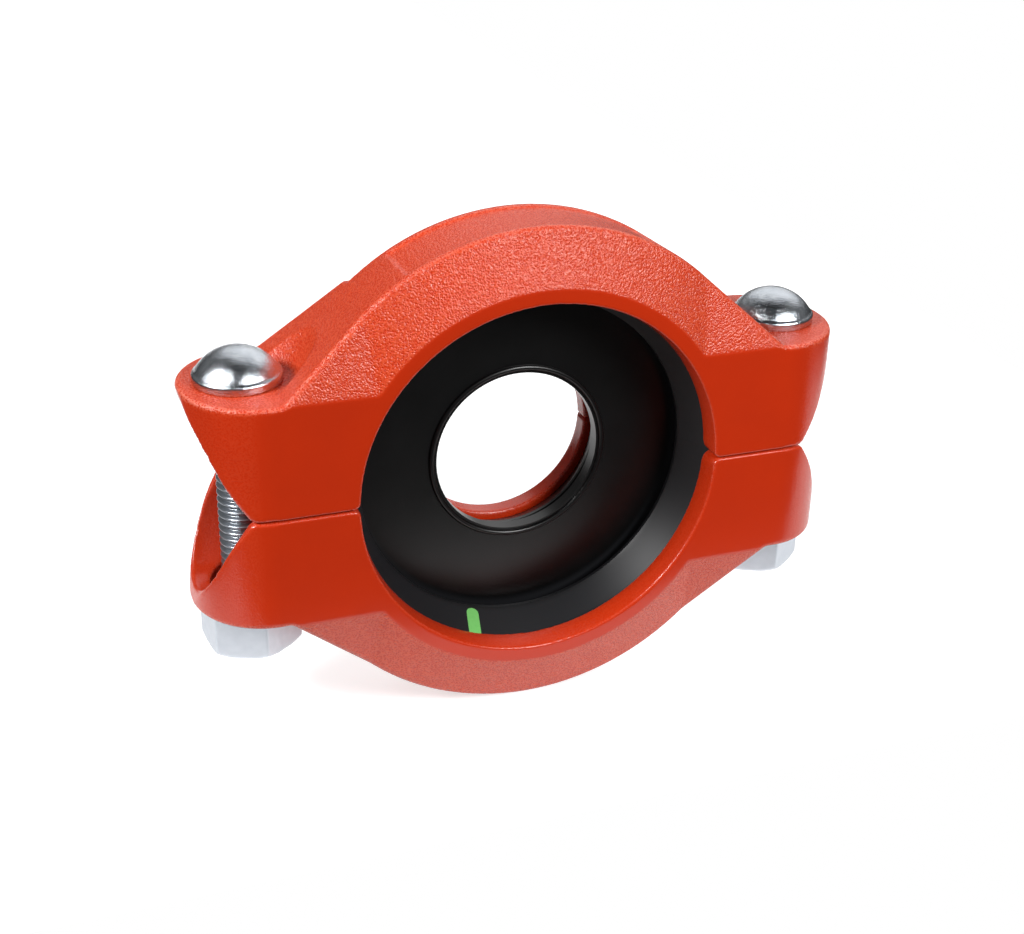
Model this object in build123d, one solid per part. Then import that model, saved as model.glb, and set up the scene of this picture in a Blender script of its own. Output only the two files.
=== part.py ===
from build123d import *
import math
import os

# Pipes that the coupling joins
large_pipe_dia = 114.3
large_groove_depth = 2.1
small_pipe_dia = 60.3
small_groove_depth = 1.575

# Keys, whose lands sit in the pipe grooves
large_key_clearance = 0.7
small_key_clearance = 0.4
large_key_depth = 8.0
small_key_depth = 8.0
large_key_bevel = 0.65
large_key_bevel_depth = 4.7
small_key_bevel = 1.45
small_key_bevel_depth = 2.0

# Cavities, which give the gasket its room round each pipe
large_gasket_room = 12.35
small_gasket_room = 12.85
large_cavity_depth = 20.0
small_cavity_depth = 12.0
cavity_corner_r = 2.0

# Housing ring
crown_wall = 8.2
crown_draft = 2.4
front_band = 5.25
front_slope_depth = 6.6
back_wall = 6.5
back_edge_drop = 1.5
hub_wall = 6.5
hub_chamfer = 1.2
split_gap = 0.4

# Crown panel, a shallow bare field between the crown's two ridges
panel_depth = 0.8
panel_margin = 2.6
panel_half_angle = 31.0

# Bolt shoulders
bolt_to_crown = 7.7
pad_height = 34.8
pad_overhang = 17.6
pad_end_length = 22.0
split_end_overhang = 2.0
end_bulge = 2.2
arch_side_wall = 4.6
arch_roof = 5.2
arch_bolt_clearance = 1.06
ramp_front_angle = 42.0
ramp_back_angle = 42.0
ramp_front_slope = 0.29
ramp_back_slope = 0.53
head_pocket_clearance = 3.6
head_pocket_flare = 27.0

# Rounded edges of the casting
ridge_fillet = 1.6
split_corner_r = 3.0
pad_edge_fillet = 1.0
arch_edge_fillet = 0.9

# Track bolts
bolt_dia = 15.875
bolt_protrusion = 1.9
bolt_tip_chamfer = 1.4
head_overhang = 5.06
head_rim = 2.9
head_height = 10.0
head_edge_r = 0.7
neck_overhang = 2.86
neck_depth = 5.0
neck_clearance = 0.35

# Hexagon nuts
nut_flats = 27.0
nut_height = 15.5
nut_chamfer_angle = 30.0
nut_turn = 36.6
thread_clearance = 0.05

# Gasket
gasket_clearance = 0.3
gasket_outer_wall = 5.2
gasket_corner_r = 2.3
lip_mouth_clearance = 1.15
lip_squeeze = 4.95
lip_length = 11.5
lip_thickness = 3.4
lip_root = 2.2
lip_tip_flat = 1.2
lip_tip_slope = 0.6
web_hole_step = 3.8
bead_r = 0.9
bead_offset = 1.7
small_outer_wall = 4.4
small_lip_mouth_clearance = 1.35
small_lip_squeeze = 1.95
small_lip_length = 8.3
small_lip_thickness = 2.6
small_lip_root = 2.2
small_lip_tip_flat = 1.0
small_lip_tip_slope = 0.5

# Steel ring moulded into the gasket's web
ring_thickness = 1.9
ring_cover = 1.1
ring_edge_cover = 3.65
ring_rim_cover = 11.2

# Values worked out from the ones above
housing_width = large_key_depth + large_cavity_depth + small_cavity_depth + small_key_depth
front_y = -housing_width / 2
back_y = housing_width / 2
split_z = split_gap / 2
large_key_r = large_pipe_dia / 2 - large_groove_depth + large_key_clearance
small_key_r = small_pipe_dia / 2 - small_groove_depth + small_key_clearance
large_cavity_r = large_pipe_dia / 2 + large_gasket_room
small_cavity_r = small_pipe_dia / 2 + small_gasket_room
large_cavity_front_y = front_y + large_key_depth
large_cavity_back_y = large_cavity_front_y + large_cavity_depth
small_cavity_back_y = back_y - small_key_depth
crown_r = large_cavity_r + crown_wall
crown_front_y = front_y + front_slope_depth
crown_back_y = large_cavity_back_y + back_wall - back_edge_drop
hub_r = small_cavity_r + hub_wall
bolt_r = bolt_dia / 2
head_r = bolt_r + head_overhang
neck_length = bolt_dia + 2 * neck_overhang
bolt_length = 2 * pad_height + nut_height + bolt_protrusion
bolt_offset = crown_r + bolt_to_crown
pad_end_x = bolt_offset + pad_overhang
pad_end_centre_x = pad_end_x - pad_end_length
split_end_x = bolt_offset + split_end_overhang
arch_wall_x = bolt_offset - bolt_r - arch_bolt_clearance
arch_width = housing_width - 2 * arch_side_wall
arch_height = pad_height - arch_roof
web_back_y = large_cavity_back_y - gasket_clearance
ring_back_y = web_back_y - ring_cover
ring_front_y = ring_back_y - ring_thickness
web_front_y = ring_front_y - ring_cover
web_hole_r = small_pipe_dia / 2 - web_hole_step
beyond = 2 * crown_r


def section(points):
    """A face in the XY plane, where X is the radius and Y runs along the pipe."""
    return make_face(Polyline(*points, close=True))


def rounded_section(points, corners, radius):
    """A section with the corners nearest to the given points rounded."""
    face = section(points)
    picked = [face.vertices().sort_by_distance(Vector(x, y, 0))[0] for x, y in corners]
    return fillet(picked, radius)


def turned(face):
    """A body of revolution about the pipe axis, Y."""
    return revolve(face, axis=Axis.Y)


def cross_plane(y):
    """The plane across the pipe at y, with local x along X and local y along Z."""
    return Plane(origin=(0, y, 0), x_dir=(1, 0, 0), z_dir=(0, -1, 0))


# Housing


def crown_radius(y):
    """The crown's radius at y: it falls by the casting's draft from front to back."""
    return crown_r - (y - crown_front_y) * math.tan(math.radians(crown_draft))


def ring_outside():
    """The ring without its bore: front band, sloped face, crown, back wall and hub."""
    back_wall_y = crown_back_y + back_edge_drop
    points = [
        (0, front_y),
        (large_key_r + front_band, front_y),
        (crown_r, crown_front_y),
        (crown_radius(crown_back_y), crown_back_y),
        (crown_radius(crown_back_y) - back_edge_drop, back_wall_y),
        (hub_r, back_wall_y),
        (hub_r, back_y - hub_chamfer),
        (hub_r - hub_chamfer, back_y),
        (0, back_y),
    ]
    ridges = [points[2], points[3]]
    return turned(rounded_section(points, ridges, ridge_fillet))


def bore_and_cavity():
    """What the pipes and the gasket fill: key bores, large cavity and small cavity."""
    points = [
        (0, front_y),
        (large_key_r + large_key_bevel, front_y),
        (large_key_r, front_y + large_key_bevel_depth),
        (large_key_r, large_cavity_front_y),
        (large_cavity_r, large_cavity_front_y),
        (large_cavity_r, large_cavity_back_y),
        (small_cavity_r, large_cavity_back_y),
        (small_cavity_r, small_cavity_back_y),
        (small_key_r, small_cavity_back_y),
        (small_key_r, back_y - small_key_bevel_depth),
        (small_key_r + small_key_bevel, back_y),
        (0, back_y),
    ]
    corners = [points[4], points[5], points[7]]
    return turned(rounded_section(points, corners, cavity_corner_r))


def shoulder_plan(height):
    """The shoulder seen from above: full width, with a half ellipse as its end."""
    plan = Pos(pad_end_centre_x, 0) * Ellipse(pad_end_length, housing_width / 2)
    plan += Pos(pad_end_centre_x / 2, 0) * Rectangle(pad_end_centre_x, housing_width)
    return extrude(plan, height)


def ramp_outline(y):
    """Side of the ramp at y: a straight line from the pad, tangent to the crown."""
    share = (y - front_y) / housing_width
    angle = math.radians(ramp_front_angle + share * (ramp_back_angle - ramp_front_angle))
    radius = crown_radius(y)
    top_x = radius * math.sin(angle)
    top_z = radius * math.cos(angle)
    foot_x = (radius - pad_height * math.cos(angle)) / math.sin(angle)
    points = [(0, 0), (foot_x, 0), (foot_x, pad_height), (top_x, top_z), (0, top_z)]
    return cross_plane(y) * section(points)


def slope_cutter(edge_y, direction, slope):
    """What lies outside the sloped face that leans in from a pad edge."""
    points = [
        (edge_y, pad_height),
        (edge_y + direction * slope * beyond, pad_height + beyond),
        (edge_y - direction * beyond, pad_height + beyond),
        (edge_y - direction * beyond, pad_height),
    ]
    return extrude(Plane.YZ * section(points), beyond, both=True)


def head_pocket():
    """The round scoop in the foot of the ramp, which leaves room for a bolt head."""
    pocket_r = head_r + head_pocket_clearance
    flare = crown_r * math.tan(math.radians(head_pocket_flare))
    centred = (Align.CENTER, Align.CENTER, Align.MIN)
    return Pos(bolt_offset, 0, pad_height) * Cone(pocket_r, pocket_r + flare, crown_r, align=centred)


def ramp():
    """The buttress between bolt pad and crown, twisted like a ruled surface."""
    body = loft([ramp_outline(front_y), ramp_outline(back_y)], ruled=True)
    body -= slope_cutter(front_y, 1, ramp_front_slope)
    body -= slope_cutter(back_y, -1, ramp_back_slope)
    middle = math.radians((ramp_front_angle + ramp_back_angle) / 2)
    top = Vector(crown_r * math.sin(middle), 0, crown_r * math.cos(middle))
    ridges = body.faces().sort_by_distance(top)[0].edges().sort_by(Axis.Y)
    body = fillet([ridges[0], ridges[-1]], ridge_fillet)
    body &= shoulder_plan(beyond)
    return body - head_pocket()


def leaning_end():
    """What the shoulder's end keeps: a slightly bulged face, which leans in to the split."""
    chord_x = pad_end_x - split_end_x
    chord_z = pad_height - split_z
    chord = math.hypot(chord_x, chord_z)
    middle = (
        (split_end_x + pad_end_x) / 2 + end_bulge * chord_z / chord,
        (split_z + pad_height) / 2 - end_bulge * chord_x / chord,
    )
    end = ThreePointArc((split_end_x, split_z), middle, (pad_end_x, pad_height))
    rest = Polyline(
        (pad_end_x, pad_height),
        (pad_end_x, beyond),
        (0, beyond),
        (0, split_z),
        (split_end_x, split_z),
    )
    face = make_face(end + rest)
    corner = face.vertices().sort_by_distance(Vector(split_end_x, split_z, 0))[0]
    return extrude(cross_plane(back_y) * fillet(corner, split_corner_r), housing_width)


def oval(length, width, height):
    """An upright prism with an oval outline, long along X."""
    return extrude(SlotOverall(length, width), height)


def arch_tunnel():
    """The arched opening in the shoulder's end, which shows the bolt."""
    arch = Plane.YZ.offset(arch_wall_x) * Ellipse(arch_width / 2, arch_height)
    return extrude(arch, pad_end_x)


def bolt_hole():
    """The oval hole through the pad, down to where the arch's roof ends beside it."""
    length = neck_length + 2 * neck_clearance
    width = bolt_dia + 2 * neck_clearance
    foot_z = arch_height * math.sqrt(1 - (width / arch_width) ** 2)
    return Pos(bolt_offset, 0, foot_z) * oval(length, width, pad_height - foot_z)


def arched_end():
    """The leaning end with its arch cut through and the arch's rim rounded."""
    block = leaning_end() - arch_tunnel()
    tunnel = block.faces().sort_by_distance(Vector(bolt_offset, 0, arch_height))[0]
    rim = [edge for edge in tunnel.edges() if edge.center().X > bolt_offset]
    return fillet(rim, arch_edge_fillet)


def shoulder():
    """One bolt shoulder on the +X side: pad, ramp, arched end and bolt hole."""
    pad = shoulder_plan(pad_height)
    rim = pad.faces().sort_by(Axis.Z)[-1].edges().sort_by(Axis.X)[-1]
    body = fillet(rim, pad_edge_fillet) + ramp()
    return (body & arched_end()) - bolt_hole()


def bore_corner_relief():
    """What rounds the corner between the large bore and the split face, on the +X side."""
    radius = split_corner_r
    corner_x = large_key_r
    middle = radius * (1 - math.sqrt(0.5))
    arc = ThreePointArc(
        (corner_x + radius, split_z),
        (corner_x + middle, split_z + middle),
        (corner_x, split_z + radius),
    )
    rest = Polyline(
        (corner_x, split_z + radius),
        (corner_x - radius, split_z + radius),
        (corner_x - radius, 0),
        (corner_x + radius, 0),
        (corner_x + radius, split_z),
    )
    return extrude(cross_plane(large_cavity_front_y) * make_face(arc + rest), large_key_depth)


def crown_panel():
    """The shallow field sunk into the crown between its ridges."""
    low_y = crown_front_y + panel_margin
    high_y = crown_back_y - panel_margin
    points = [
        (crown_radius(low_y) - panel_depth, low_y),
        (crown_r + panel_depth, low_y),
        (crown_r + panel_depth, high_y),
        (crown_radius(high_y) - panel_depth, high_y),
    ]
    half_width = beyond * math.tan(math.radians(panel_half_angle))
    wedge = cross_plane(high_y) * section([(0, 0), (half_width, beyond), (-half_width, beyond)])
    return turned(section(points)) & extrude(wedge, high_y - low_y)


def housing_half():
    """The upper casting. The lower one is the same, turned over about the pipe."""
    right = shoulder()
    body = ring_outside() + right + mirror(right, about=Plane.YZ)
    body -= crown_panel()
    body -= bore_and_cavity()
    relief = bore_corner_relief()
    body -= relief + mirror(relief, about=Plane.YZ)
    keep = Box(2 * beyond, 2 * beyond, beyond, align=(Align.CENTER, Align.CENTER, Align.MIN))
    return body & Pos(0, 0, split_z) * keep


# Bolts and nuts


def track_bolt():
    """A track bolt with a domed head and an oval neck, its head on the upper pad."""
    dome_r = head_r - head_edge_r
    dome_rise = head_height - head_rim
    sphere_r = (dome_r**2 + dome_rise**2) / (2 * dome_rise)
    edge_cut = head_edge_r * (1 - math.sqrt(0.5))
    side = Line((head_r, 0), (head_r, head_rim - head_edge_r))
    edge = ThreePointArc(
        (head_r, head_rim - head_edge_r),
        (head_r - edge_cut, head_rim - edge_cut),
        (dome_r, head_rim),
    )
    half = dome_r / 2
    middle = head_height - sphere_r + math.sqrt(sphere_r**2 - half**2)
    dome = ThreePointArc((dome_r, head_rim), (half, middle), (0, head_height))
    outline = side + edge + dome + Line((0, head_height), (0, 0)) + Line((0, 0), (head_r, 0))
    head = revolve(Plane.XZ * make_face(outline), axis=Axis.Z)
    neck = Pos(0, 0, -neck_depth) * oval(neck_length, bolt_dia, neck_depth)
    shank = extrude(Circle(bolt_r), -bolt_length)
    tip = shank.edges().filter_by(GeomType.CIRCLE).sort_by(Axis.Z)[0]
    return head + neck + chamfer(tip, bolt_tip_chamfer)


def hexagon_nut():
    """A hexagon nut, chamfered at both ends, with its top face at z = 0."""
    corner_r = nut_flats / math.sqrt(3)
    drop = (corner_r - nut_flats / 2) * math.tan(math.radians(nut_chamfer_angle))
    points = [
        (0, 0),
        (nut_flats / 2, 0),
        (corner_r, drop),
        (corner_r, nut_height - drop),
        (nut_flats / 2, nut_height),
        (0, nut_height),
    ]
    blank = extrude(RegularPolygon(corner_r, 6), nut_height)
    blank &= revolve(Plane.XZ * section(points), axis=Axis.Z)
    blank -= extrude(Circle(bolt_r + thread_clearance), nut_height)
    return Location((0, 0, -nut_height), (0, 0, nut_turn)) * blank


# Gasket and its steel ring


def stiffening_ring():
    """The steel ring in the middle of the gasket's web."""
    inner_r = web_hole_r + ring_edge_cover
    outer_r = large_cavity_r - gasket_clearance - ring_rim_cover
    points = [
        (inner_r, ring_front_y),
        (outer_r, ring_front_y),
        (outer_r, ring_back_y),
        (inner_r, ring_back_y),
    ]
    return turned(section(points))


def large_lip(outer_r, front, inner_r):
    """The large pipe's lip, from the front corner round its tip to the outer wall."""
    tip_r = large_pipe_dia / 2 - lip_squeeze
    tip_y = front + lip_length
    root_y = front + lip_thickness + lip_root
    return [
        (outer_r, front),
        (large_pipe_dia / 2 + lip_mouth_clearance, front),
        (tip_r, tip_y - lip_tip_flat),
        (tip_r, tip_y),
        (tip_r + lip_tip_flat, tip_y + lip_tip_slope),
        (inner_r - lip_thickness, root_y),
        (inner_r, root_y),
    ]


def small_lip(outer_r, back, inner_r):
    """The small pipe's lip, from its outer wall round its tip to the back corner."""
    tip_r = small_pipe_dia / 2 - small_lip_squeeze
    tip_y = back - small_lip_length
    root_y = back - small_lip_thickness - small_lip_root
    return [
        (inner_r, root_y),
        (inner_r - small_lip_thickness, root_y),
        (tip_r + small_lip_tip_flat, tip_y - small_lip_tip_slope),
        (tip_r, tip_y),
        (tip_r, tip_y + small_lip_tip_flat),
        (small_pipe_dia / 2 + small_lip_mouth_clearance, back),
        (outer_r, back),
    ]


def gasket():
    """One rubber ring: a lip for the large pipe, a web, and a lip for the small pipe."""
    outer_r = large_cavity_r - gasket_clearance
    inner_r = outer_r - gasket_outer_wall
    front = large_cavity_front_y + gasket_clearance
    small_r = small_cavity_r - gasket_clearance
    small_inner_r = small_r - small_outer_wall
    small_back = small_cavity_back_y - gasket_clearance
    points = large_lip(outer_r, front, inner_r)
    points += [
        (inner_r, web_front_y),
        (web_hole_r, web_front_y),
        (web_hole_r, web_back_y),
        (small_inner_r, web_back_y),
    ]
    points += small_lip(small_r, small_back, small_inner_r)
    points += [(small_r, web_back_y), (outer_r, web_back_y)]
    corners = [(outer_r, front), (small_r, small_back), (outer_r, web_back_y)]
    body = turned(rounded_section(points, corners, gasket_corner_r))
    body += turned(Pos(web_hole_r + bead_offset, web_front_y) * Circle(bead_r))
    return body - stiffening_ring()


# Placing and writing


def turned_over(shape):
    """The same piece for the lower half, turned 180 degrees about the pipe axis."""
    return shape.rotate(Axis.Y, 180)


def build():
    upper = housing_half()
    bolt = track_bolt()
    nut = hexagon_nut()
    pieces = {
        "upper_housing": upper,
        "lower_housing": turned_over(upper),
        "gasket": gasket(),
        "stiffening_ring": stiffening_ring(),
        "track_bolt_left": Pos(-bolt_offset, 0, pad_height) * bolt,
        "track_bolt_right": Pos(bolt_offset, 0, pad_height) * bolt,
        "hex_nut_left": Pos(-bolt_offset, 0, -pad_height) * nut,
        "hex_nut_right": Pos(bolt_offset, 0, -pad_height) * nut,
    }
    os.makedirs("parts", exist_ok=True)
    for name, piece in pieces.items():
        solids = piece.solids()
        shape = solids[0] if len(solids) == 1 else Compound(children=list(solids))
        export_step(shape, f"parts/{name}.step")
        print(name, len(solids), round(piece.volume, 1))


build()
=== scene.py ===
# %% [markdown]
# A grooved reducing coupling joins a large grooved pipe to a small one. It is two
# cast iron halves, dipped in orange-red enamel, two track bolts with hexagon nuts,
# and one black rubber gasket with a steel ring inside. The solids come from the
# CAD model as a fixed frame, and this script gives them their cast, forged, rolled
# and moulded surfaces, a studio and a camera. Blender's unit here is the metre, so
# sizes are written in millimetres and multiplied by MM.

# %% Load the frame
import math

import bmesh
import bpy
from mathutils import Matrix, Vector


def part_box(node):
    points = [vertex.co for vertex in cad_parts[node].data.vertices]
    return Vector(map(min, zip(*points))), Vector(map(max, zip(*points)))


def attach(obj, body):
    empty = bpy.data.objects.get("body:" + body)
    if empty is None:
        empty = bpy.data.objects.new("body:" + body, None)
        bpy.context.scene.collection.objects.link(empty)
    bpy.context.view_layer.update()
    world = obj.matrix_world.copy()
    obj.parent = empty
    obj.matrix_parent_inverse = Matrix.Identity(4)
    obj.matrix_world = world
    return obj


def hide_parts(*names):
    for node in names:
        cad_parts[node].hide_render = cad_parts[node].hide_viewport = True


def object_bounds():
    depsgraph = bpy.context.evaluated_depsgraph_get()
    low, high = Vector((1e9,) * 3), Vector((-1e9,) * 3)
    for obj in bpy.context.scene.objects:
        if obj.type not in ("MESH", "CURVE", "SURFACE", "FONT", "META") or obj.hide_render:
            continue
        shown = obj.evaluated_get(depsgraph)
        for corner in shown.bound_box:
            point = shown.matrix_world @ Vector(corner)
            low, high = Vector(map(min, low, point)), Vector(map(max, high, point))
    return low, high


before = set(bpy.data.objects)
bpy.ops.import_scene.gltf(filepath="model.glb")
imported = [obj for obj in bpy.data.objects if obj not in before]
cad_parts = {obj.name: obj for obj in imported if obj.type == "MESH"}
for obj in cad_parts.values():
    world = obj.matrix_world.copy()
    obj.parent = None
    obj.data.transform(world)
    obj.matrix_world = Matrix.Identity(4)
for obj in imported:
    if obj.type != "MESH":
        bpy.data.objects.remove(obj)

MM = 0.001
cad_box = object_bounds()
print("CAD nodes:", sorted(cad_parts))

# %% [markdown]
# Every tree of nodes below, for a mesh or for a material, is built by one small
# function. It adds a node, sets it and links it. An input may be a plain value,
# one socket of another node, or another node, which stands for the output that its
# settings leave in use.

# %% One helper for all node trees


def result(node):
    """The first output of a node that its settings leave in use."""
    return next(s for s in node.outputs if s.enabled)


def add(tree, kind, inputs=None, **settings):
    """Add one node to a tree, with its settings, its values and its links."""
    node = tree.nodes.new(kind)
    for name, value in settings.items():
        setattr(node, name, value)
    for key, value in (inputs or {}).items():
        if isinstance(key, int):
            socket = node.inputs[key]
        else:
            socket = next(s for s in node.inputs if s.enabled and s.name == key)
        if isinstance(value, bpy.types.Node):
            value = result(value)
        if isinstance(value, bpy.types.NodeSocket):
            tree.links.new(value, socket)
        else:
            socket.default_value = value
    return node


# %% [markdown]
# Colours are written as sRGB hex values, as a paint chart gives them, but a shader
# works with linear light, so one function turns them. Two more helpers start a
# material with its shader, and link the finished nodes to it.

# %% Colours and materials


def linear(hex_colour):
    """The linear colour of an sRGB hex value such as C8401E."""
    channels = [int(hex_colour[i:i + 2], 16) / 255 for i in (0, 2, 4)]
    return [c / 12.92 if c <= 0.04045 else ((c + 0.055) / 1.055) ** 2.4 for c in channels] + [1.0]


def new_material(name):
    """An empty material with its shader and its object coordinates."""
    material = bpy.data.materials.new(name)
    material.use_nodes = True
    tree = material.node_tree
    tree.nodes.clear()
    shader = add(tree, "ShaderNodeBsdfPrincipled")
    add(tree, "ShaderNodeOutputMaterial", {"Surface": shader})
    place = add(tree, "ShaderNodeTexCoord").outputs["Object"]
    return material, tree, shader, place


def wire(tree, shader, nodes):
    """Link finished nodes to the shader, by the names of the shader's inputs."""
    for name, node in nodes.items():
        tree.links.new(result(node), shader.inputs[name])


print("sRGB C8401E is linear", [round(c, 3) for c in linear("C8401E")[:3]])

# %% [markdown]
# The halves are ductile iron, cast in green sand, then dipped in orange-red enamel.
# The enamel half fills the sand's grain, which leaves a leathery orange peel of round
# cells, about 0.6 mm wide. A plain noise would give clouds, and a smooth Voronoi pattern
# gives such cells. Its places are bent by a slower noise, so that no rows show, and
# finer specks lie on top. The result is a height that drives both the bump and the
# paler grain.

# %% Height of the enamel's peel
grain_width = 0.6 * MM
bend_width = 3 * grain_width
speck_width = 0.3 * MM
speck_share = 0.3


def peel_height(tree, place):
    """The height of the peel, from 0 to about 1."""
    bend = add(tree, "ShaderNodeTexNoise", {"Vector": place, "Scale": 1 / bend_width, "Detail": 1.0})
    shift = add(tree, "ShaderNodeVectorMath", {
        0: bend.outputs["Color"], "Scale": grain_width,
    }, operation="SCALE")
    bent_place = add(tree, "ShaderNodeVectorMath", {0: place, 1: shift}, operation="ADD")
    cells = add(tree, "ShaderNodeTexVoronoi", {
        "Vector": bent_place, "Scale": 1 / grain_width, "Smoothness": 0.6,
    }, feature="SMOOTH_F1")
    specks = add(tree, "ShaderNodeTexNoise", {
        "Vector": place, "Scale": 1 / speck_width, "Detail": 2.0, "Roughness": 0.6,
    })
    return add(tree, "ShaderNodeMix", {
        "Factor": speck_share, "A": cells.outputs["Distance"], "B": specks.outputs["Fac"],
    }, data_type="FLOAT")


print("cells", round(grain_width / MM, 2), "mm wide, specks", round(speck_width / MM, 2), "mm")

# %% [markdown]
# The grain isn't the same on every face. Sloped faces lie against the sand and come
# out coarse. The flat plates at both ends, the upright walls and the bores slide out
# of the mould along themselves, so they are nearly smooth. A second material on those
# faces would show a seam on every rounded edge. The way that a face points tells them
# apart without one: how far along the pipes, and how far away from the split line.

# %% Where the grain is coarse
plate_grain = 0.12
wall_grain = 0.2


def face_directions(tree, place):
    """How far a face points out along the pipes, and how far away from the split line."""
    facing = add(tree, "ShaderNodeSeparateXYZ", {
        "Vector": add(tree, "ShaderNodeTexCoord").outputs["Normal"],
    })
    spot = add(tree, "ShaderNodeSeparateXYZ", {"Vector": place})
    nearer_end = add(tree, "ShaderNodeMath", {0: spot.outputs["Y"]}, operation="SIGN")
    along_pipes = add(tree, "ShaderNodeMath", {
        0: facing.outputs["Y"], 1: nearer_end,
    }, operation="MULTIPLY")
    own_half = add(tree, "ShaderNodeMath", {0: spot.outputs["Z"]}, operation="SIGN")
    off_split = add(tree, "ShaderNodeMath", {
        0: facing.outputs["Z"], 1: own_half,
    }, operation="MULTIPLY")
    return along_pipes, off_split


def grain_strength(tree, along_pipes, off_split):
    """1 on a face that lay against the sand, and near 0 on one that slid out of it."""
    on_plates = add(tree, "ShaderNodeMapRange", {
        "Value": along_pipes, "From Min": 0.955, "From Max": 0.99, "To Min": 1.0, "To Max": plate_grain,
    })
    on_walls = add(tree, "ShaderNodeMapRange", {
        "Value": off_split, "From Min": 0.0, "From Max": 0.2, "To Min": wall_grain, "To Max": 1.0,
    })
    return add(tree, "ShaderNodeMath", {0: on_plates, 1: on_walls}, operation="MULTIPLY")


print("grain is 1 on slopes,", wall_grain, "on walls and", plate_grain, "on plates")

# %% [markdown]
# Edges are painted paler, in a pale pink: a painted highlight that stands in for the light that rounded
# edges catch. Cycles has Pointiness to find edges, but that changes with the size of the triangles. So the
# mesh carries an attribute named edge, made below, which says how sharply the surface turns. It is
# multiplied by the peel, so that the painted highlight breaks up into specks. Edges that face the split
# line or lie on a plate show it least.

# %% Painted highlight on edges
strongest_edge_highlight = 0.42


def painted_edge_highlight(tree, peel, along_pipes, off_split):
    """How much of the painted edge highlight each point gets."""
    edge = add(tree, "ShaderNodeAttribute", attribute_name="edge")
    grain_top = add(tree, "ShaderNodeMapRange", {"Value": peel, "From Min": 0.34, "From Max": 0.5})
    crest = add(tree, "ShaderNodeMath", {0: edge.outputs["Fac"], 1: grain_top}, operation="MULTIPLY")
    edge_highlight = add(tree, "ShaderNodeMapRange", {
        "Value": crest, "From Min": 0.3, "From Max": 0.95, "To Min": 0.0, "To Max": strongest_edge_highlight,
    })
    outer_side = add(tree, "ShaderNodeMapRange", {
        "Value": off_split, "From Min": -0.1, "From Max": 0.12, "To Min": 0.25, "To Max": 1.0,
    })
    off_plate = add(tree, "ShaderNodeMapRange", {
        "Value": along_pipes, "From Min": 0.5, "From Max": 0.85, "To Min": 1.0, "To Max": 0.2,
    })
    on_outside = add(tree, "ShaderNodeMath", {0: edge_highlight, 1: outer_side}, operation="MULTIPLY")
    return add(tree, "ShaderNodeMath", {0: on_outside, 1: off_plate}, operation="MULTIPLY")


print("the sharpest edge takes", strongest_edge_highlight, "of the pale colour")

# %% [markdown]
# Now the enamel itself. Its red wanders a little over 14 mm, as a dipped coat's does. The tops of the grain
# are lighter in colour. The coat is glossy, with a roughness of 0.2 to 0.27.

# %% Enamel on the casting
peel_depth = 0.34 * MM
mottle_width = 14 * MM


def enamelled_casting():
    material, tree, shader, place = new_material("orange_enamel_on_sand_cast_iron")
    peel = peel_height(tree, place)
    along_pipes, off_split = face_directions(tree, place)
    strength = grain_strength(tree, along_pipes, off_split)
    bump = add(tree, "ShaderNodeBump", {"Strength": strength, "Distance": peel_depth, "Height": peel})
    mottle = add(tree, "ShaderNodeTexNoise", {"Vector": place, "Scale": 1 / mottle_width, "Detail": 3.0})
    coat = add(tree, "ShaderNodeMix", {
        "Factor": mottle.outputs["Fac"], "A": linear("CA310A"), "B": linear("C02D09"),
    }, data_type="RGBA")
    lighter_grain_tops = add(tree, "ShaderNodeMapRange", {
        "Value": peel, "From Min": 0.34, "From Max": 0.54, "To Min": 0.0, "To Max": 0.38,
    })
    on_grain = add(tree, "ShaderNodeMath", {0: lighter_grain_tops, 1: strength}, operation="MULTIPLY")
    grained = add(tree, "ShaderNodeMix", {
        "Factor": on_grain, "A": coat, "B": linear("EE6A44"),
    }, data_type="RGBA")
    # Painted highlight: a pale pink laid over the enamel on sharp edges, broken into specks by the peel.
    colour = add(tree, "ShaderNodeMix", {
        "Factor": painted_edge_highlight(tree, peel, along_pipes, off_split), "A": grained, "B": linear("F0907A"),
    }, data_type="RGBA")
    gloss = add(tree, "ShaderNodeMapRange", {
        "Value": mottle.outputs["Fac"], "To Min": 0.2, "To Max": 0.27,
    })
    wire(tree, shader, {"Base Color": colour, "Roughness": gloss, "Normal": bump})
    return material


enamel = enamelled_casting()
print("made", enamel.name)

# %% [markdown]
# The bolts are forged steel with bright zinc plate, about ten microns thick, that follows every dent of the
# forging die. The thread is rolled smooth and a little duller, and its zinc is painted darker than the
# head's, a painted shade for the window in which it shows. The nuts have the same plate over a cold-formed
# surface, so they look paler and matt. All are metal, so the colour is the reflection's, and the roughness
# and two layers of bump, dents and a frost, do the rest. The plate's crystals are far too fine to show, so
# the frost is drawn 0.4 mm wide.

# %% Zinc plate
dent_width = 3.2 * MM
frost_width = 0.4 * MM


def zinc_plate(name, colour, dull_colour, roughness, dent_depth, frost_depth):
    material, tree, shader, place = new_material(name)
    shader.inputs["Metallic"].default_value = 1.0
    dents = add(tree, "ShaderNodeTexNoise", {"Vector": place, "Scale": 1 / dent_width, "Detail": 1.0})
    frost = add(tree, "ShaderNodeTexNoise", {
        "Vector": place, "Scale": 1 / frost_width, "Detail": 3.0, "Roughness": 0.65,
    })
    dented = add(tree, "ShaderNodeBump", {"Distance": dent_depth, "Height": dents.outputs["Fac"]})
    frosted = add(tree, "ShaderNodeBump", {
        "Distance": frost_depth, "Height": frost.outputs["Fac"], "Normal": dented,
    })
    tone = add(tree, "ShaderNodeMix", {
        "Factor": dents.outputs["Fac"], "A": linear(colour), "B": linear(dull_colour),
    }, data_type="RGBA")
    sheen = add(tree, "ShaderNodeMapRange", {
        "Value": frost.outputs["Fac"], "To Min": roughness - 0.08, "To Max": roughness + 0.1,
    })
    wire(tree, shader, {"Base Color": tone, "Roughness": sheen, "Normal": frosted})
    return material


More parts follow.
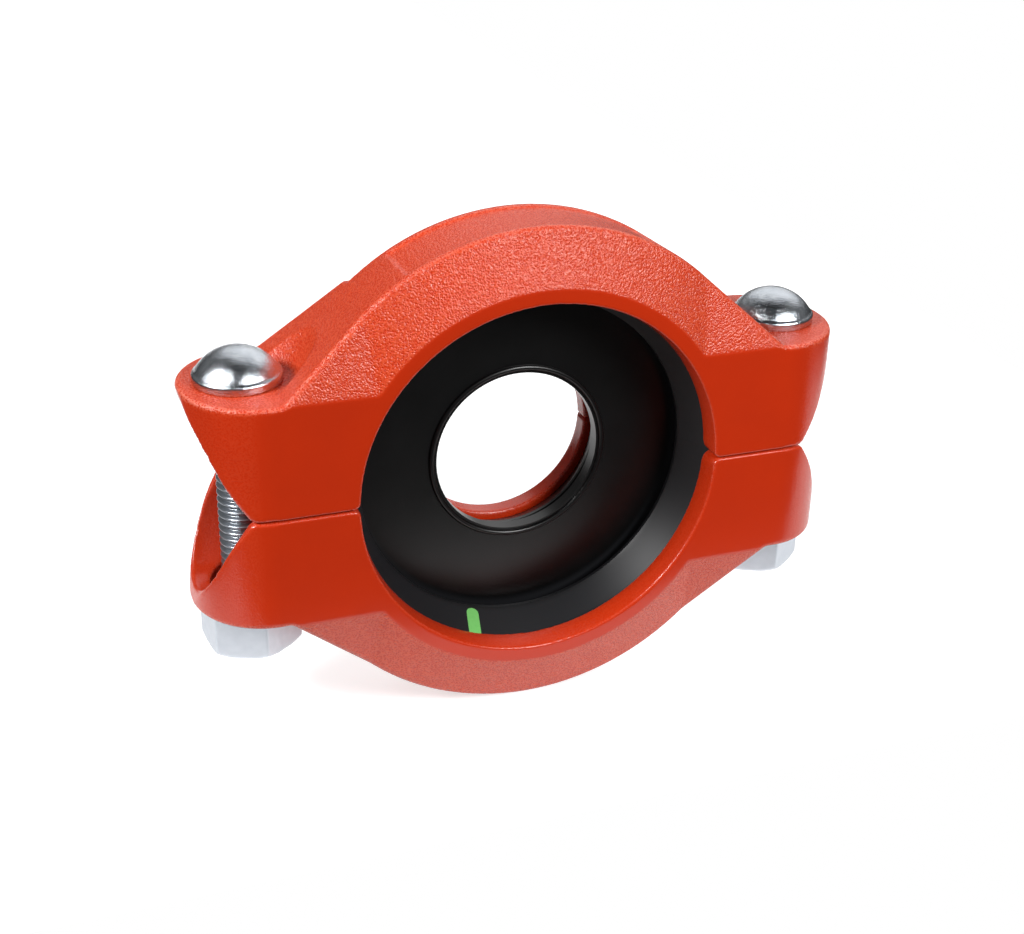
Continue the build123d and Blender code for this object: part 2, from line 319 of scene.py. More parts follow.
bolt_zinc = zinc_plate("bright_zinc_on_forged_steel", "E4E9EF", "C2C9D2", 0.14, 0.18 * MM, 0.11 * MM)
# The thread's zinc is painted darker than the head's: painted shade for the window where the thread shows.
thread_zinc_with_painted_shade = zinc_plate("dull_zinc_with_painted_shade_on_rolled_thread", "BCC2C9", "A9AFB7", 0.3, 0.01 * MM, 0.003 * MM)
nut_zinc = zinc_plate("matt_zinc_on_cold_formed_steel", "D2D7DE", "C3C9D1", 0.44, 0.04 * MM, 0.012 * MM)
print("made", bolt_zinc.name + ",", thread_zinc_with_painted_shade.name, "and", nut_zinc.name)

# %% [markdown]
# The gasket is black EPDM rubber, moulded in a turned steel mould. The mould leaves
# faint rings round the pipe's axis, and a satin skin a little rougher than plastic.
# The rings are a noise that is read along the radius and along the axis, so that it
# is the same all the way round. The marks of the lathe are finer, and are drawn half a
# millimetre apart so that they show. The lip's cone, outside a radius of about 52 mm,
# comes more matt from the mould, and looks greyer.

# %% Moulded rubber
mould_ring_width = 0.5 * MM
rubber_grain = 0.3 * MM
rubber_grain_depth = 0.012 * MM
lip_zone = (51 * MM, 53 * MM)
lip_roughness = 0.46


def moulded_rubber():
    material, tree, shader, place = new_material("black_moulded_epdm")
    axes = add(tree, "ShaderNodeSeparateXYZ", {"Vector": place})
    across = add(tree, "ShaderNodeCombineXYZ", {"X": axes.outputs["X"], "Y": axes.outputs["Z"]})
    radius = add(tree, "ShaderNodeVectorMath", {0: across}, operation="LENGTH")
    round_place = add(tree, "ShaderNodeCombineXYZ", {"X": radius.outputs["Value"], "Y": axes.outputs["Y"]})
    rings = add(tree, "ShaderNodeTexNoise", {"Vector": round_place, "Scale": 1 / mould_ring_width})
    grain = add(tree, "ShaderNodeTexNoise", {"Vector": place, "Scale": 1 / rubber_grain, "Detail": 2.0})
    bloom = add(tree, "ShaderNodeTexNoise", {"Vector": place, "Scale": 1 / mottle_width, "Detail": 4.0})
    skin = add(tree, "ShaderNodeMix", {
        "Factor": 0.5, "A": rings.outputs["Fac"], "B": grain.outputs["Fac"],
    }, data_type="FLOAT")
    bump = add(tree, "ShaderNodeBump", {"Distance": rubber_grain_depth, "Height": skin})
    on_lip_zone = add(tree, "ShaderNodeMapRange", {
        "Value": radius.outputs["Value"], "From Min": lip_zone[0], "From Max": lip_zone[1],
    })
    deep_black = add(tree, "ShaderNodeMix", {
        "Factor": bloom.outputs["Fac"], "A": linear("060606"), "B": linear("0D0D0E"),
    }, data_type="RGBA")
    colour = add(tree, "ShaderNodeMix", {
        "Factor": on_lip_zone, "A": deep_black, "B": linear("17181B"),
    }, data_type="RGBA")
    satin = add(tree, "ShaderNodeMapRange", {
        "Value": bloom.outputs["Fac"], "To Min": 0.28, "To Max": 0.36,
    })
    gloss = add(tree, "ShaderNodeMix", {
        "Factor": on_lip_zone, "A": satin, "B": lip_roughness,
    }, data_type="FLOAT")
    wire(tree, shader, {"Base Color": colour, "Roughness": gloss, "Normal": bump})
    return material


rubber = moulded_rubber()
print("made", rubber.name)

# %% [markdown]
# Two finishes are left. The steel ring inside the gasket is plain cold-rolled sheet.
# The rolls leave fine lines, which are a noise squeezed thirty times in one direction.
# The gasket's stripe is a dab of matt green paint, which marks the grade of the rubber.

# %% Rolled sheet and stripe paint
roll_line_length = 4 * MM
roll_line_squeeze = 30.0
brush_width = 1.2 * MM
brush_depth = 0.03 * MM


def rolled_sheet():
    material, tree, shader, place = new_material("cold_rolled_steel_sheet")
    shader.inputs["Metallic"].default_value = 1.0
    shader.inputs["Base Color"].default_value = linear("B5B7BA")
    squeezed = add(tree, "ShaderNodeMapping", {"Vector": place, "Scale": (1.0, 1.0, roll_line_squeeze)})
    lines = add(tree, "ShaderNodeTexNoise", {
        "Vector": squeezed, "Scale": 1 / roll_line_length, "Detail": 2.0,
    })
    gloss = add(tree, "ShaderNodeMapRange", {"Value": lines.outputs["Fac"], "To Min": 0.3, "To Max": 0.5})
    wire(tree, shader, {"Roughness": gloss})
    return material


def stripe_paint():
    material, tree, shader, place = new_material("matt_green_paint")
    brush = add(tree, "ShaderNodeTexNoise", {"Vector": place, "Scale": 1 / brush_width, "Detail": 2.0})
    colour = add(tree, "ShaderNodeMix", {
        "Factor": brush.outputs["Fac"], "A": linear("70C862"), "B": linear("84D474"),
    }, data_type="RGBA")
    bump = add(tree, "ShaderNodeBump", {"Distance": brush_depth, "Height": brush.outputs["Fac"]})
    shader.inputs["Roughness"].default_value = 0.55
    wire(tree, shader, {"Base Color": colour, "Normal": bump})
    return material


sheet_steel = rolled_sheet()
green_paint = stripe_paint()
print("made", sheet_steel.name, "and", green_paint.name)

# %% [markdown]
# A CAD mesh has sharp edges, and a casting or a forging has none. Sculpting each
# edge round would take long and a bevel needs clean topology, so the skin is made
# by rule. A copy of the solid is rebuilt from small cubes of even size, then the
# tree below blurs its points, which rounds edges and fillets corners alike. The tree
# then measures how far each point stands out from a wider blur, and keeps that as
# the attribute named edge. Last, it sinks a slow unevenness into the surface.

# %% The tree that turns a solid's skin into a cast or forged one
wide_passes = 8


def skin_inputs(tree):
    """Give the tree its named inputs and its output, and return the inputs' sockets."""
    tree.interface.new_socket("Geometry", in_out="INPUT", socket_type="NodeSocketGeometry")
    tree.interface.new_socket("Passes", in_out="INPUT", socket_type="NodeSocketInt")
    for name in ("Wave Width", "Wave Depth", "Edge Height"):
        tree.interface.new_socket(name, in_out="INPUT", socket_type="NodeSocketFloat")
    tree.interface.new_socket("Finish", in_out="INPUT", socket_type="NodeSocketMaterial")
    tree.interface.new_socket("Geometry", in_out="OUTPUT", socket_type="NodeSocketGeometry")
    return add(tree, "NodeGroupInput").outputs


def skin_tree():
    tree = bpy.data.node_groups.new("cast_or_forged_skin", "GeometryNodeTree")
    given = skin_inputs(tree)
    position = add(tree, "GeometryNodeInputPosition")
    normal = add(tree, "GeometryNodeInputNormal")
    rounded = add(tree, "GeometryNodeBlurAttribute", {
        "Value": position, "Iterations": given["Passes"],
    }, data_type="FLOAT_VECTOR")
    smooth = add(tree, "GeometryNodeSetPosition", {"Geometry": given["Geometry"], "Position": rounded})
    wide = add(tree, "GeometryNodeBlurAttribute", {
        "Value": position, "Iterations": wide_passes,
    }, data_type="FLOAT_VECTOR")
    out = add(tree, "ShaderNodeVectorMath", {0: position, 1: wide}, operation="SUBTRACT")
    standing = add(tree, "ShaderNodeVectorMath", {0: out, 1: normal}, operation="DOT_PRODUCT")
    edge = add(tree, "ShaderNodeMath", {
        0: standing.outputs["Value"], 1: given["Edge Height"],
    }, operation="DIVIDE")
    kept = add(tree, "GeometryNodeStoreNamedAttribute", {
        "Geometry": smooth, "Name": "edge", "Value": edge,
    }, data_type="FLOAT", domain="POINT")
    per_metre = add(tree, "ShaderNodeMath", {0: 1.0, 1: given["Wave Width"]}, operation="DIVIDE")
    waves = add(tree, "ShaderNodeTexNoise", {"Vector": position, "Scale": per_metre, "Detail": 1.0})
    depth = add(tree, "ShaderNodeMath", {
        0: waves.outputs["Fac"], 1: given["Wave Depth"],
    }, operation="MULTIPLY")
    outward = add(tree, "ShaderNodeVectorMath", {0: normal, "Scale": depth}, operation="SCALE")
    sunk = add(tree, "ShaderNodeVectorMath", {0: outward, "Scale": -1.0}, operation="SCALE")
    wavy = add(tree, "GeometryNodeSetPosition", {"Geometry": kept, "Offset": sunk})
    shaded = add(tree, "GeometryNodeSetShadeSmooth", {"Geometry": wavy})
    real = add(tree, "GeometryNodeRealizeInstances", {"Geometry": shaded})
    painted = add(tree, "GeometryNodeSetMaterial", {"Geometry": real, "Material": given["Finish"]})
    add(tree, "NodeGroupOutput", {"Geometry": painted})
    return tree


cast_or_forged = skin_tree()
print("tree", cast_or_forged.name, "has", len(cast_or_forged.nodes), "nodes")

# %% [markdown]
# Four helpers go with the tree. One copies a CAD node and merges its loose
# triangles. One gives an object's modifier the values of a tree by the names of its
# inputs. One turns the evaluated object into a plain mesh, and removes the modifiers.
# The last does the whole: rebuild from cubes, run the tree, and thin the result.

# %% Helpers for meshes
merge_distance = 0.002 * MM


def merged_copy(node, name):
    """A new object with a CAD node's mesh, its loose triangles joined into one skin."""
    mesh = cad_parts[node].data.copy()
    mesh.materials.clear()
    work = bmesh.new()
    work.from_mesh(mesh)
    bmesh.ops.remove_doubles(work, verts=work.verts, dist=merge_distance)
    work.to_mesh(mesh)
    work.free()
    piece = bpy.data.objects.new(name, mesh)
    bpy.context.scene.collection.objects.link(piece)
    return piece


def give_tree(piece, tree, values):
    """Add a tree to an object as a modifier, with a value for each named input."""
    modifier = piece.modifiers.new(tree.name, "NODES")
    modifier.node_group = tree
    for socket in tree.interface.items_tree:
        if socket.in_out == "INPUT" and socket.name in values:
            modifier[socket.identifier] = values[socket.name]


def settle(piece):
    """Turn what the modifiers make into the object's own plain mesh."""
    ready = piece.evaluated_get(bpy.context.evaluated_depsgraph_get())
    mesh = bpy.data.meshes.new_from_object(ready)
    piece.modifiers.clear()
    piece.data = mesh
    mesh.name = piece.name
    triangles = sum(len(p.vertices) - 2 for p in mesh.polygons)
    print(piece.name, len(mesh.vertices), "points,", triangles, "triangles")
    return piece


def rebuilt_skin(piece, cube, values, kept_share=1.0):
    """The piece's skin, rebuilt from cubes of one size, finished by the tree, then thinned."""
    remesh = piece.modifiers.new("rebuild", "REMESH")
    remesh.mode = "VOXEL"
    remesh.voxel_size = cube
    give_tree(piece, cast_or_forged, values)
    if kept_share < 1.0:
        thinned = piece.modifiers.new("thin", "DECIMATE")
        thinned.ratio = kept_share
    return settle(piece)


# %% [markdown]
# The two halves come from one pattern, so they get the same treatment. Cubes of
# 0.48 mm hold their edges and bores, and three passes of blur round the edges to
# about a millimetre, as the enamel does. Thinning to three eighths keeps each half
# under 200,000 triangles.

# %% The two cast halves
half_cube = 0.48 * MM
half_share = 0.375
halves = {"upper_housing": "upper_half", "lower_housing": "lower_half"}
for node, body in halves.items():
    casting = rebuilt_skin(merged_copy(node, node + "_casting"), half_cube, {
        "Passes": 3, "Wave Width": 14 * MM, "Wave Depth": 0.06 * MM,
        "Edge Height": 0.2 * MM, "Finish": enamel,
    }, half_share)
    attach(casting, body)
    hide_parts(node)

# %% [markdown]
# The nuts are cold formed, so their corners are round too, only less. The same tree
# makes them, from smaller cubes.

# %% The two nuts
nut_cube = 0.3 * MM
for side in ("left", "right"):
    nut = rebuilt_skin(merged_copy("hex_nut_" + side, "hex_nut_" + side + "_plated"), nut_cube, {
        "Passes": 4, "Wave Width": 5 * MM, "Wave Depth": 0.03 * MM,
        "Edge Height": 0.12 * MM, "Finish": nut_zinc,
    })
    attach(nut, "nut_" + side)
    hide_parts("hex_nut_" + side)

# %% [markdown]
# The bolt's thread is rolled: 5/8 inch with 11 threads to the inch, a pitch of
# 2.309 mm, right-handed. A Screw modifier could wind the profile, but its ends would
# have to be trimmed by hand, so a tree makes the thread from its sizes. It starts from
# a flat grid. One direction of the grid becomes the turns, and the other one thread's
# profile, so the profile's two ends meet the turns before and after and are merged
# with them. First come the tree's inputs, and where each point of the grid goes along
# and round the bolt.

# %% The thread's inputs and turns


def thread_inputs(tree):
    """Give the tree its named inputs and its output, and return the inputs' sockets."""
    lengths = (
        "Radius", "Pitch", "Depth", "Tip", "Top", "Run Out Start", "Run Out Length", "Chamfer", "X", "Y",
    )
    tree.interface.new_socket("Geometry", in_out="INPUT", socket_type="NodeSocketGeometry")
    for name in lengths:
        tree.interface.new_socket(name, in_out="INPUT", socket_type="NodeSocketFloat")
    for name in ("Turns", "Steps", "Profile Steps"):
        tree.interface.new_socket(name, in_out="INPUT", socket_type="NodeSocketInt")
    tree.interface.new_socket("Finish", in_out="INPUT", socket_type="NodeSocketMaterial")
    tree.interface.new_socket("Geometry", in_out="OUTPUT", socket_type="NodeSocketGeometry")
    return add(tree, "NodeGroupInput").outputs


def thread_turns(tree, given):
    """The flat grid, and each point's angle, height and share of the profile."""
    points_along = add(tree, "ShaderNodeMath", {
        0: given["Turns"], 1: given["Steps"], 2: 1.0,
    }, operation="MULTIPLY_ADD")
    points_across = add(tree, "ShaderNodeMath", {0: given["Profile Steps"], 1: 1.0}, operation="ADD")
    grid = add(tree, "GeometryNodeMeshGrid", {
        "Size X": 1.0, "Size Y": 1.0, "Vertices X": points_along, "Vertices Y": points_across,
    })
    spot = add(tree, "ShaderNodeSeparateXYZ", {"Vector": add(tree, "GeometryNodeInputPosition")})
    turn_share = add(tree, "ShaderNodeMath", {0: spot.outputs["X"], 1: 0.5}, operation="ADD")
    profile_share = add(tree, "ShaderNodeMath", {0: spot.outputs["Y"], 1: 0.5}, operation="ADD")
    turn = add(tree, "ShaderNodeMath", {0: turn_share, 1: given["Turns"]}, operation="MULTIPLY")
    angle = add(tree, "ShaderNodeMath", {0: turn, 1: 2 * math.pi}, operation="MULTIPLY")
    pitches = add(tree, "ShaderNodeMath", {0: turn, 1: profile_share}, operation="ADD")
    start = add(tree, "ShaderNodeMath", {0: given["Tip"], 1: given["Pitch"]}, operation="SUBTRACT")
    free_height = add(tree, "ShaderNodeMath", {
        0: pitches, 1: given["Pitch"], 2: start,
    }, operation="MULTIPLY_ADD")
    above_tip = add(tree, "ShaderNodeMath", {0: free_height, 1: given["Tip"]}, operation="MAXIMUM")
    height = add(tree, "ShaderNodeMath", {0: above_tip, 1: given["Top"]}, operation="MINIMUM")
    return grid, angle, height, profile_share


# %% [markdown]
# The profile is that of an inch thread with rounded flanks: the crest is an eighth of
# the pitch wide, and the root a quarter. Towards the head the groove runs out into
# the plain shank, and at the tip a chamfer of 45 degrees cuts it off.

# %% The thread's radius
crest_share = 1 / 8
root_share = 1 / 4
root_middle = 0.5 + crest_share / 2


def thread_radius(tree, given, height, profile_share):
    """How far each point lies from the bolt's axis, and the radius of the tip's end."""
    from_root = add(tree, "ShaderNodeMath", {0: profile_share, 1: root_middle}, operation="SUBTRACT")
    root_distance = add(tree, "ShaderNodeMath", {0: from_root}, operation="ABSOLUTE")
    groove = add(tree, "ShaderNodeMapRange", {
        "Value": root_distance, "From Min": 0.5 - crest_share / 2, "From Max": root_share / 2,
    }, interpolation_type="SMOOTHSTEP")
    run_out_end = add(tree, "ShaderNodeMath", {
        0: given["Run Out Start"], 1: given["Run Out Length"],
    }, operation="ADD")
    fade = add(tree, "ShaderNodeMapRange", {
        "Value": height, "From Min": run_out_end, "From Max": given["Run Out Start"],
    }, interpolation_type="SMOOTHSTEP")
    depth_share = add(tree, "ShaderNodeMath", {0: groove, 1: fade}, operation="MULTIPLY")
    cut = add(tree, "ShaderNodeMath", {0: depth_share, 1: given["Depth"]}, operation="MULTIPLY")
    threaded = add(tree, "ShaderNodeMath", {0: given["Radius"], 1: cut}, operation="SUBTRACT")
    over_tip = add(tree, "ShaderNodeMath", {0: height, 1: given["Tip"]}, operation="SUBTRACT")
    end_radius = add(tree, "ShaderNodeMath", {
        0: given["Radius"], 1: given["Chamfer"],
    }, operation="SUBTRACT")
    cone = add(tree, "ShaderNodeMath", {0: end_radius, 1: over_tip}, operation="ADD")
    radius = add(tree, "ShaderNodeMath", {0: threaded, 1: cone}, operation="MINIMUM")
    return radius, end_radius


print("crest", crest_share, "and root", root_share, "of a pitch, the root's middle at", root_middle)

# %% [markdown]
# The last part winds the grid round the axis, closes both ends with a disc, welds
# the turns together and gives them their finish.

# %% The tree that rolls a thread
weld_distance = 0.004 * MM


def thread_tree():
    tree = bpy.data.node_groups.new("rolled_thread", "GeometryNodeTree")
    given = thread_inputs(tree)
    grid, angle, height, profile_share = thread_turns(tree, given)
    radius, end_radius = thread_radius(tree, given, height, profile_share)
    cosine = add(tree, "ShaderNodeMath", {0: angle}, operation="COSINE")
    sine = add(tree, "ShaderNodeMath", {0: angle}, operation="SINE")
    x = add(tree, "ShaderNodeMath", {0: radius, 1: cosine, 2: given["X"]}, operation="MULTIPLY_ADD")
    y = add(tree, "ShaderNodeMath", {0: radius, 1: sine, 2: given["Y"]}, operation="MULTIPLY_ADD")
    wound = add(tree, "GeometryNodeSetPosition", {
        "Geometry": grid, "Position": add(tree, "ShaderNodeCombineXYZ", {"X": x, "Y": y, "Z": height}),
    })
    joined = add(tree, "GeometryNodeJoinGeometry")
    tree.links.new(wound.outputs[0], joined.inputs[0])
    for end, disc_radius in (("Tip", end_radius), ("Top", given["Radius"])):
        disc = add(tree, "GeometryNodeMeshCircle", {
            "Vertices": given["Steps"], "Radius": disc_radius,
        }, fill_type="NGON")
        centre = add(tree, "ShaderNodeCombineXYZ", {"X": given["X"], "Y": given["Y"], "Z": given[end]})
        placed = add(tree, "GeometryNodeTransform", {"Geometry": disc, "Translation": centre})
        tree.links.new(placed.outputs[0], joined.inputs[0])
    welded = add(tree, "GeometryNodeMergeByDistance", {"Geometry": joined, "Distance": weld_distance})
    shaded = add(tree, "GeometryNodeSetShadeSmooth", {"Geometry": welded})
    real = add(tree, "GeometryNodeRealizeInstances", {"Geometry": shaded})
    plated = add(tree, "GeometryNodeSetMaterial", {"Geometry": real, "Material": given["Finish"]})
    add(tree, "NodeGroupOutput", {"Geometry": plated})
    return tree


rolled_thread = thread_tree()
print("tree", rolled_thread.name, "has", len(rolled_thread.nodes), "nodes")

# %% [markdown]
# Each bolt is two closed shells in one mesh: the forged head with its oval neck, cut
# from the CAD node and rounded by the skin's tree, and the rolled shank, whose plain
# top ends inside the neck. Two helpers cut and join meshes.

# %% Helpers that cut and join meshes


def cut_below(piece, height):
    """Cut a closed mesh at a height, keep what is above and close the cut."""
    work = bmesh.new()
    work.from_mesh(piece.data)
    whole = work.verts[:] + work.edges[:] + work.faces[:]
    cut = bmesh.ops.bisect_plane(
        work, geom=whole, dist=0.001 * MM, plane_co=(0, 0, height), plane_no=(0, 0, 1), clear_inner=True,
    )
    rim = [e for e in cut["geom_cut"] if isinstance(e, bmesh.types.BMEdge)]
    bmesh.ops.holes_fill(work, edges=rim)
    work.to_mesh(piece.data)
    work.free()


def join_meshes(kept, added):
    """Add one object's mesh to another's, with its own finish, and remove the object."""
    work = bmesh.new()
    work.from_mesh(kept.data)
    first_new = len(work.faces)
    work.from_mesh(added.data)
    work.faces.ensure_lookup_table()
    for face in work.faces[first_new:]:
        face.material_index = len(kept.data.materials)
    kept.data.materials.append(added.data.materials[-1])
    work.to_mesh(kept.data)
    work.free()
    bpy.data.objects.remove(added)


# %% [markdown]
# The bolt's place comes from its CAD node: the box's middle gives the axis, its
# bottom the tip, and 10 mm under its top lies the pad that the head rests on. The
# thread starts 4 mm above the split line, so it shows in the window beside the bolt.

# %% The two track bolts
inch = 25.4 * MM
bolt_diameter = 5 / 8 * inch
thread_pitch = inch / 11
thread_depth = 1.25 * MM
thread_above_split = 4.0 * MM
run_out = 3.0 * MM
tip_chamfer = 1.4 * MM
head_height = 10.0 * MM
neck_depth = 5.0 * MM
neck_trim = 0.2 * MM
shank_into_neck = 1.0 * MM
head_cube = 0.3 * MM

for side in ("left", "right"):
    node = "track_bolt_" + side
    low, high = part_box(node)
    centre = (low + high) / 2
    neck_end = high.z - head_height - neck_depth
    shank_top = neck_end + shank_into_neck
    bolt = merged_copy(node, node + "_plated")
    cut_below(bolt, neck_end + neck_trim)
    rebuilt_skin(bolt, head_cube, {
        "Passes": 3, "Wave Width": 4 * MM, "Wave Depth": 0.04 * MM,
        "Edge Height": 0.12 * MM, "Finish": bolt_zinc,
    })
    shank = bpy.data.objects.new(node + "_shank", bpy.data.meshes.new(node + "_shank"))
    bpy.context.scene.collection.objects.link(shank)
    give_tree(shank, rolled_thread, {
        "Radius": bolt_diameter / 2, "Pitch": thread_pitch, "Depth": thread_depth,
        "Tip": low.z, "Top": shank_top, "Run Out Start": thread_above_split,
        "Run Out Length": run_out, "Chamfer": tip_chamfer, "X": centre.x, "Y": centre.y,
        "Turns": math.ceil((shank_top - low.z) / thread_pitch) + 1,
        "Steps": 48, "Profile Steps": 16, "Finish": thread_zinc_with_painted_shade,
    })
    settle(shank)
    join_meshes(bolt, shank)
    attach(bolt, "bolt_" + side)
    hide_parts(node)

# %% [markdown]
# The gasket's solid is a body of revolution already, as the moulded one is, so it
# stays and takes the rubber. The steel ring is inside it.

# %% Gasket and ring
for node, finish in (("gasket", rubber), ("stiffening_ring", sheet_steel)):
    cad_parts[node].data.materials.clear()
    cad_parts[node].data.materials.append(finish)
    print(node, "is", finish.name)

# %% [markdown]
# The green stripe is a film of paint across the lip, a little left of the bottom. A
# mask in the rubber's material could colour it, but a film of its own keeps a crisp
# border. It lies on the lip's cone, so it is drawn along that cone, from the mouth
# inwards, with a round end at the deep side. A point on the cone is given by radius and
# by place along the pipes.

# %% Green stripe on the lip
lip_mouth = Vector((58.3, -15.7)) * MM
lip_tip = Vector((52.2, -5.4)) * MM
stripe_angle = math.radians(-18.2)
stripe_width = 4.2 * MM
stripe_ends = (0.04, 0.93)
paint_thickness = 0.06 * MM


def on_lip(share, sideways):
    """A point on the lip's cone: how far from mouth to tip, and how far sideways."""
    spot = lip_mouth.lerp(lip_tip, share)
    inward = (lip_tip - lip_mouth).orthogonal().normalized()
    spot = spot + inward * paint_thickness * (1 if inward.x < 0 else -1)
    angle = stripe_angle + sideways / spot.x
    return Vector((spot.x * math.sin(angle), spot.y, -spot.x * math.cos(angle)))


def half_width(share):
    """Half the stripe's width at a place along it, which shrinks to nothing in a half round."""
    round_share = stripe_width / 2 / (lip_tip - lip_mouth).length
    past = max(0.0, share - (stripe_ends[1] - round_share)) / round_share
    return stripe_width / 2 * math.sqrt(max(0.0, 1 - past ** 2))


def paint_stripe(rows=24, columns=12):
    mesh = bpy.data.meshes.new("gasket_stripe")
    work = bmesh.new()
    grid = []
    for row in range(rows + 1):
        share = stripe_ends[0] + (stripe_ends[1] - stripe_ends[0]) * row / rows
        half = half_width(share)
        grid.append([
            work.verts.new(on_lip(share, half * (2 * c / columns - 1))) for c in range(columns + 1)
        ])
    for a, b in zip(grid, grid[1:]):
        for c in range(columns):
            work.faces.new((a[c], a[c + 1], b[c + 1], b[c]))
    bmesh.ops.remove_doubles(work, verts=work.verts, dist=merge_distance)
    bmesh.ops.recalc_face_normals(work, faces=work.faces)
    work.to_mesh(mesh)
    work.free()
    mesh.materials.append(green_paint)
    piece = bpy.data.objects.new("gasket_stripe", mesh)
    bpy.context.scene.collection.objects.link(piece)
    return piece


stripe = paint_stripe()
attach(stripe, "seal")
print("stripe has", len(stripe.data.polygons), "faces")

# %% [markdown]
# The coupling stands on white paper that runs on behind it. In front the paper ends
# 80 mm from the middle, because the flat plates mirror the floor there, and a white
# floor would veil their red. The paper's own colour takes the shadow. A glow that only
# the camera, mirrors and glass see lifts it to the white of the background, and is
# weaker near the coupling, where the shadow lies.

# %% White paper floor
floor_left = -0.19
floor_right = 0.32
floor_front = -0.08
floor_rear = 1.5
shadow_zone = (0.2, 0.45)
glow_in_shadow = 0.68


def white_paper():
    material, tree, shader, place = new_material("white_paper_sweep")
    shader.inputs["Base Color"].default_value = linear("CACACA")
    shader.inputs["Roughness"].default_value = 0.8
    shader.inputs["Emission Color"].default_value = linear("FFFFFF")
    rays = add(tree, "ShaderNodeLightPath").outputs
    seen = add(tree, "ShaderNodeMath", {
        0: rays["Is Camera Ray"], 1: rays["Is Glossy Ray"],
    }, operation="MAXIMUM")
    seen = add(tree, "ShaderNodeMath", {0: seen, 1: rays["Is Transmission Ray"]}, operation="MAXIMUM")
    from_middle = add(tree, "ShaderNodeVectorMath", {0: place}, operation="LENGTH")
    fading = add(tree, "ShaderNodeMapRange", {
        "Value": from_middle.outputs["Value"], "From Min": shadow_zone[0], "From Max": shadow_zone[1],
        "To Min": glow_in_shadow, "To Max": 1.0,
    })
    glow = add(tree, "ShaderNodeMath", {0: seen, 1: fading}, operation="MULTIPLY")
    wire(tree, shader, {"Emission Strength": glow})
    return material


foot = cad_box[0][2]
paper_outline = [
    (floor_left, floor_front, foot), (floor_right, floor_front, foot),
    (floor_right, floor_rear, foot), (floor_left, floor_rear, foot),
]
paper = bpy.data.meshes.new("floor")
paper.from_pydata(paper_outline, [], [tuple(range(len(paper_outline)))])
paper.materials.append(white_paper())
floor = bpy.data.objects.new("floor", paper)
bpy.context.scene.collection.objects.link(floor)
print("paper at", round(foot / MM, 1), "mm")

# %% [markdown]
# The room round the studio is dark grey: its walls get lighter towards eye level, and
# its ceiling is nearly black, which gives the bolt heads their dark band. Behind and
# above the coupling stands a soft round panel. It puts the pale sheen on the slopes
# and on the crown. A photograph of a studio could light the scene too, but here each
# part of the room can be moved. The panel's rim is given as the cosines of two angles
# from its middle.

# %% Room and panel
wall_heights = (-0.1, 0.45)
wall_levels = (0.05, 0.16)
ceiling_heights = (0.64, 0.8)
ceiling_levels = (0.16, 0.03)
panel_direction = Vector((0.406, 0.65, 0.643))
panel_rim = (0.8, 0.9)
panel_brightness = 1.6


def room_light(room, height):
    """The grey of the room at a height, from -1 straight down to 1 straight up."""
    walls = add(room, "ShaderNodeMapRange", {
        "Value": height, "From Min": wall_heights[0], "From Max": wall_heights[1],
        "To Min": wall_levels[0], "To Max": wall_levels[1],
    }, interpolation_type="SMOOTHSTEP")
    ceiling = add(room, "ShaderNodeMapRange", {
        "Value": height, "From Min": ceiling_heights[0], "From Max": ceiling_heights[1],
        "To Min": ceiling_levels[0], "To Max": ceiling_levels[1],
    }, interpolation_type="SMOOTHSTEP")
    return add(room, "ShaderNodeMath", {0: ceiling, 1: walls}, operation="MINIMUM")


def panel_share(room, direction):
    """1 where a direction points into the panel, 0 outside, with a soft rim between."""
    towards = add(room, "ShaderNodeVectorMath", {0: direction, 1: panel_direction}, operation="DOT_PRODUCT")
    return add(room, "ShaderNodeMapRange", {
        "Value": towards.outputs["Value"], "From Min": panel_rim[0], "From Max": panel_rim[1],
    }, interpolation_type="SMOOTHSTEP")


world = bpy.data.worlds.new("studio_room")
world.use_nodes = True
bpy.context.scene.world = world
room = world.node_tree
room.nodes.clear()
direction = add(room, "ShaderNodeTexCoord").outputs["Generated"]
height = add(room, "ShaderNodeSeparateXYZ", {"Vector": direction}).outputs["Z"]
panel = panel_share(room, direction)
brightness = add(room, "ShaderNodeMix", {
    "Factor": panel, "A": room_light(room, height), "B": panel_brightness,
}, data_type="FLOAT")
print("the panel is", round(math.degrees(math.acos(panel_rim[0]))), "degrees in radius")

# %% [markdown]
# A Light Path node tells which kind of ray asks, and so chooses between the room and a
# plain white. The camera sees the white, and so do rays through glass. Mirrors see it
# where the panel is, and the dark room elsewhere.

# %% White background
rays = add(room, "ShaderNodeLightPath").outputs
mirrored = add(room, "ShaderNodeMath", {0: rays["Is Glossy Ray"], 1: panel}, operation="MULTIPLY")
seen = add(room, "ShaderNodeMath", {
    0: rays["Is Camera Ray"], 1: rays["Is Transmission Ray"],
}, operation="MAXIMUM")
seen = add(room, "ShaderNodeMath", {0: seen, 1: mirrored}, operation="MAXIMUM")
studio = add(room, "ShaderNodeBackground", {"Color": linear("FFFFFF"), "Strength": brightness})
white = add(room, "ShaderNodeBackground", {"Color": linear("FFFFFF"), "Strength": 1.0})
chosen = add(room, "ShaderNodeMixShader", {0: seen, 1: studio, 2: white})
add(room, "ShaderNodeOutputWorld", {"Surface": chosen})
print("world", world.name, "has", len(room.nodes), "nodes")

# %% [markdown]
# Two softboxes light the coupling, one from its left and one from the front right.
# Both stand 0.8 m away, and each puts one bright spot on every bolt head. Azimuth 0 is
# straight behind the coupling, and 90 is on its right.

# %% Softboxes
lamp_distance = 0.8


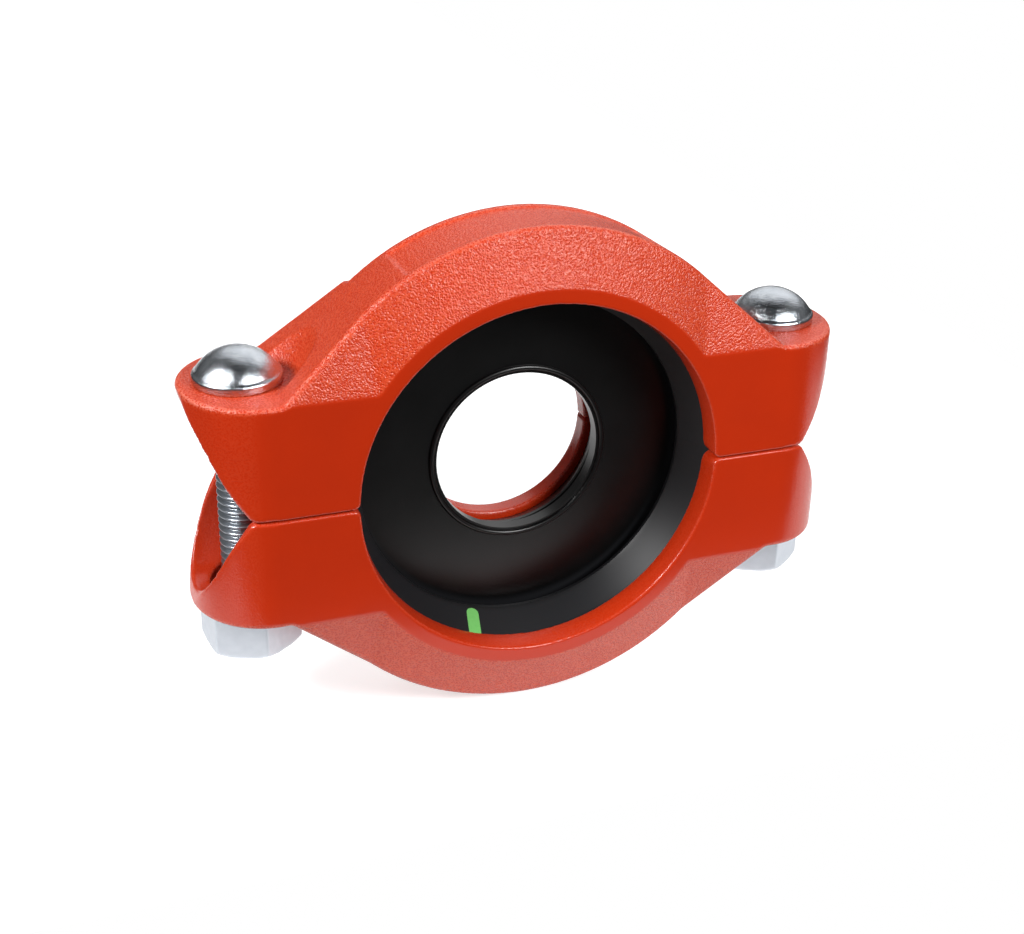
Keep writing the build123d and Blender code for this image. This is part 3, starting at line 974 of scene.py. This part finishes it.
def softbox(name, azimuth, elevation, width, height, power):
    """A rectangular studio light of so many watts, aimed at the coupling."""
    lamp = bpy.data.lights.new(name, "AREA")
    lamp.shape = "RECTANGLE"
    lamp.size = width
    lamp.size_y = height
    lamp.energy = power
    light = bpy.data.objects.new(name, lamp)
    bpy.context.scene.collection.objects.link(light)
    a, e = math.radians(azimuth), math.radians(elevation)
    away = Vector((math.sin(a) * math.cos(e), math.cos(a) * math.cos(e), math.sin(e)))
    light.location = away * lamp_distance
    light.rotation_euler = away.to_track_quat("Z", "Y").to_euler()
    print(name, "at", tuple(round(c, 2) for c in light.location))


softbox("softbox_left", azimuth=-103, elevation=37, width=0.26, height=0.20, power=5.7)
softbox("softbox_right", azimuth=153, elevation=33, width=0.26, height=0.28, power=5.4)

# %% [markdown]
# The camera stands where the photograph's did: to the left of the front and about 26
# degrees above the level, with a slight roll. Its place was worked out from the ends
# of edges whose places on the coupling are known. Its three axes are built from two
# angles and the roll, and set as one matrix.

# %% Camera
view_azimuth = math.radians(-21.236)
view_elevation = math.radians(25.806)
view_roll = math.radians(1.584)
camera_place = Vector((-0.160323, -0.421862, 0.214346))

back = Vector((
    math.sin(view_azimuth) * math.cos(view_elevation),
    -math.cos(view_azimuth) * math.cos(view_elevation),
    math.sin(view_elevation),
))
sideways = Vector((math.cos(view_azimuth), math.sin(view_azimuth), 0))
upright = back.cross(sideways)
right = sideways * math.cos(view_roll) + upright * math.sin(view_roll)
up = upright * math.cos(view_roll) - sideways * math.sin(view_roll)
camera = bpy.data.objects.new("camera", bpy.data.cameras.new("camera"))
bpy.context.scene.collection.objects.link(camera)
camera.matrix_world = Matrix.Translation(camera_place) @ Matrix((right, up, back)).transposed().to_4x4()
camera.data.sensor_width = 36.0
camera.data.lens = 56.57
camera.data.shift_x = -0.01527
camera.data.shift_y = -0.00429
camera.data.clip_start = 0.01
bpy.context.scene.camera = camera
bpy.context.scene.view_settings.view_transform = "Standard"
print("camera at", tuple(round(c, 3) for c in camera.location))
